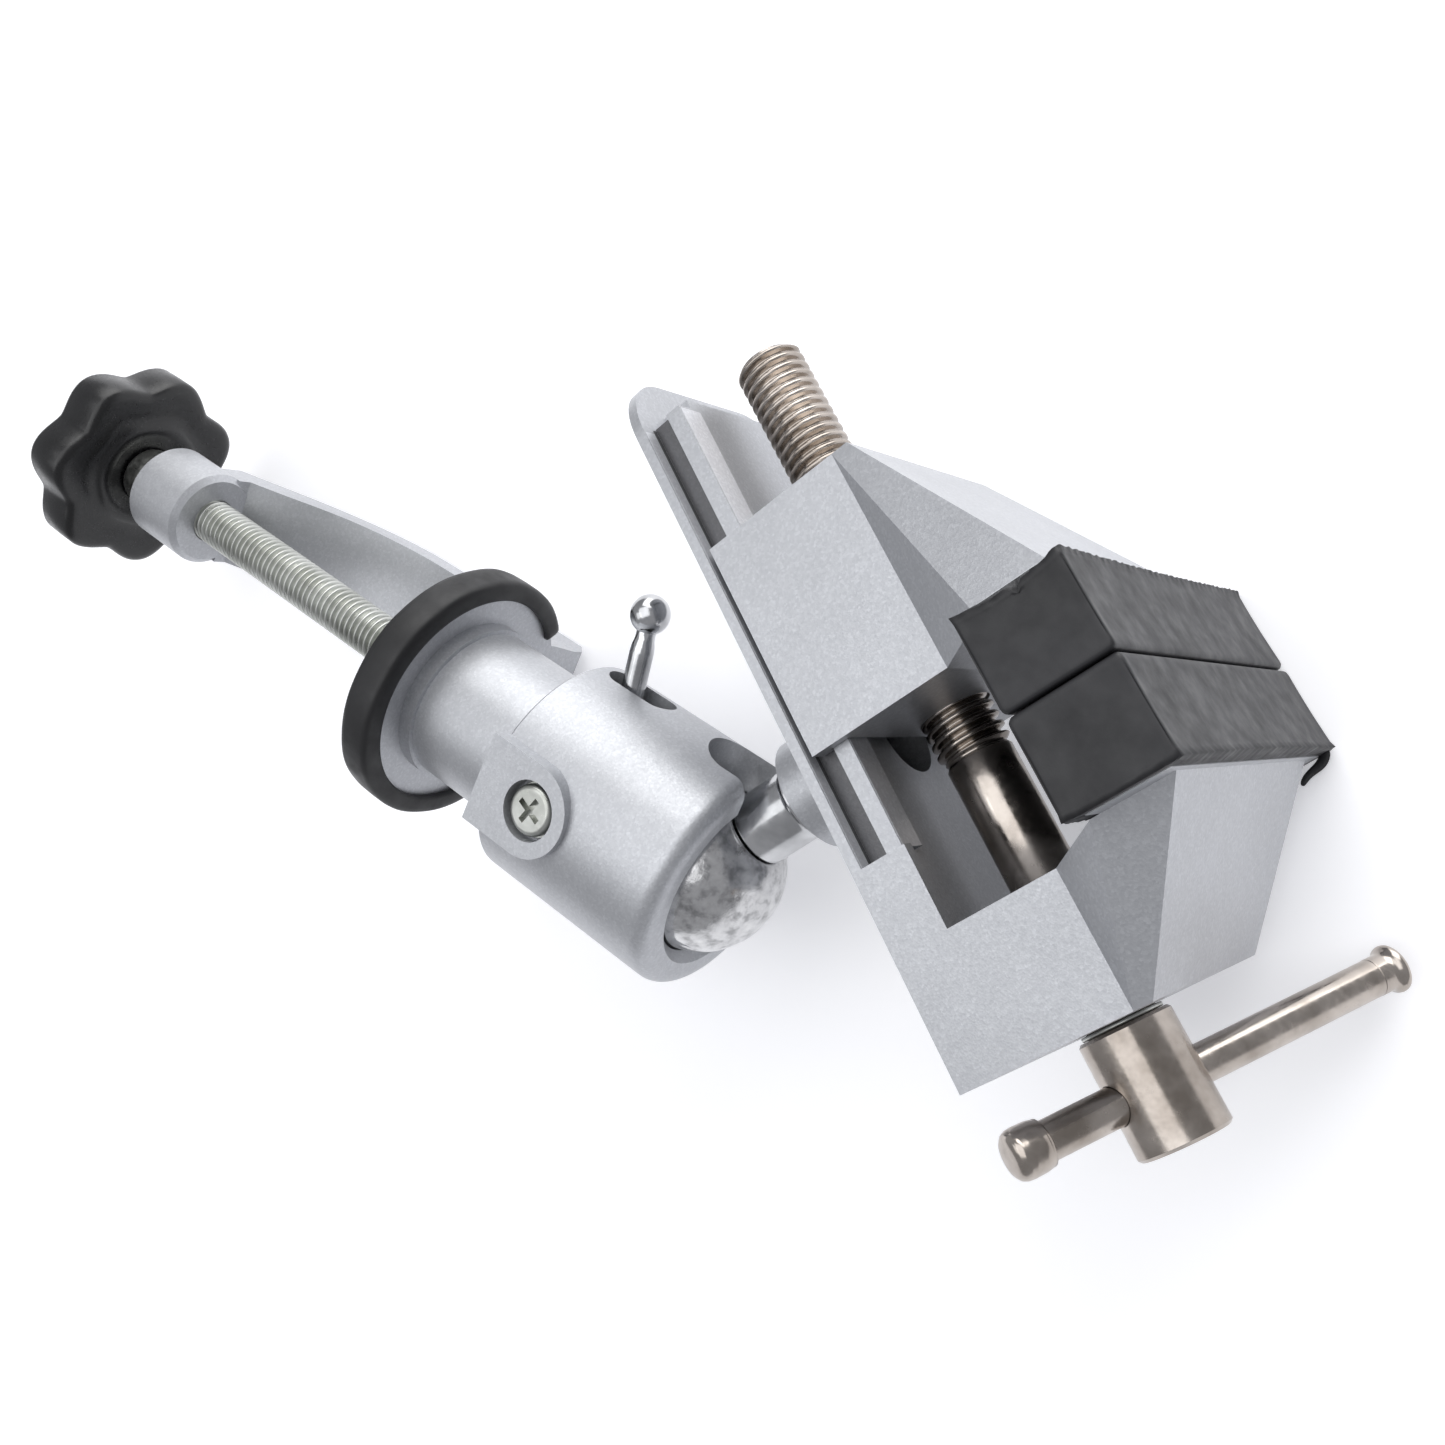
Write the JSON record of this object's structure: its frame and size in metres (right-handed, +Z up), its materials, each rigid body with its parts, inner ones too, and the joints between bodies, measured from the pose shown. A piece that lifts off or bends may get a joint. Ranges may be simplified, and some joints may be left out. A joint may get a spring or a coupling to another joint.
{
  "type": "mini swivel bench vise",
  "caption": "Clamp-on mini vise for holding a circuit board or small part between rubber-faced jaws, on a locking ball swivel with a lever, over a C-clamp with a lobed knob.",
  "frame": {"origin": "centre of the bounding box at floor level, with the vise lying on the clamp arm and the far ends of its jaw caps", "axes": "+Z up from the floor; +X from the swivel ball towards the clamp knob; +Y completes a right-handed frame"},
  "size_m": [0.2324, 0.0914, 0.0648],
  "materials": {
    "cast_alloy": "fine sand-textured silver",
    "nickel_steel": "polished nickel plate",
    "zinc_steel": "bright zinc plate",
    "chromed_steel": "polished",
    "rubber": "matte moulded rubber",
    "knob_plastic": "satin black"
  },
  "bodies": {
    "clamp": {"clamp_frame": "cast_alloy", "disc_ring": "rubber", "swivel_retainer": "zinc_steel", "swivel_screw": "zinc_steel"},
    "socket": {"socket_body": "cast_alloy", "plunger": "zinc_steel"},
    "cam": {"cam_shaft": "zinc_steel", "cam_screw": "zinc_steel", "cam_washer": "zinc_steel", "lever_rod": "chromed_steel", "lever_ball": "chromed_steel"},
    "ball": {"swivel_ball": "chromed_steel"},
    "head": {"bed_fixed_jaw": "cast_alloy", "ball_stem": "chromed_steel", "stem_screw": "zinc_steel", "stem_washer": "zinc_steel", "jaw_cap_fixed": "rubber", "retaining_pin": "zinc_steel"},
    "jaw": {"moving_jaw": "cast_alloy", "jaw_cap_moving": "rubber"},
    "screw": {"lead_screw": "nickel_steel", "screw_hub": "nickel_steel", "thrust_washer": "zinc_steel"},
    "bar": {"t_bar": "nickel_steel", "t_bar_caps": "nickel_steel"},
    "foot": {"clamp_foot": "zinc_steel", "foot_pad": "rubber"},
    "knob": {"clamp_screw": "zinc_steel", "clamp_knob": "knob_plastic", "knob_collar": "zinc_steel"}
  },
  "joints": [
    {"name": "socket_swivel", "type": "hinge", "parent": "clamp", "child": "socket", "pos_m": [-0.033, 0.02509, 0.02752], "axis": [0.9999, 0, 0.0112], "continuous": true},
    {"name": "cam_lock", "type": "hinge", "parent": "socket", "child": "cam", "pos_m": [-0.0141, 0.02509, 0.02773], "axis": [-0.0112, 0.0896, 0.9959], "range_deg": [-19, 6.5]},
    {"name": "ball_tilt", "type": "hinge", "parent": "socket", "child": "ball", "pos_m": [-0.033, 0.02509, 0.02752], "axis": [-0.0112, 0.0896, 0.9959], "range_deg": [-98, 30]},
    {"name": "head_spin", "type": "hinge", "parent": "ball", "child": "head", "pos_m": [-0.033, 0.02509, 0.02752], "axis": [-0.5183, -0.8523, 0.0708], "continuous": true},
    {"name": "jaw_slide", "type": "slide", "parent": "head", "child": "jaw", "axis": [0.8544, -0.5196, 0], "range_m": [0, 0.033]},
    {"name": "lead_screw_turn", "type": "hinge", "parent": "head", "child": "screw", "pos_m": [-0.0666, -0.00679, 0.03069], "axis": [-0.8544, 0.5196, 0], "range_deg": [-10, 7930]},
    {"name": "bar_slide", "type": "slide", "parent": "screw", "child": "bar", "axis": [-0.3646, -0.5995, -0.7125], "range_m": [-0.026, 0.009]},
    {"name": "clamp_slide", "type": "slide", "parent": "clamp", "child": "foot", "axis": [0.9999, 0, 0.0112], "range_m": [0, 0.05]},
    {"name": "clamp_screw_turn", "type": "hinge", "parent": "foot", "child": "knob", "pos_m": [0.027, 0.02509, 0.02819], "axis": [0.9999, 0, 0.0112], "range_deg": [-10, 14410]}
  ],
  "couplings": [
    {"joint": "lead_screw_turn", "follows": "jaw_slide", "rad_per_m": 4188.8},
    {"joint": "clamp_screw_turn", "follows": "clamp_slide", "rad_per_m": 5026.5}
  ]
}
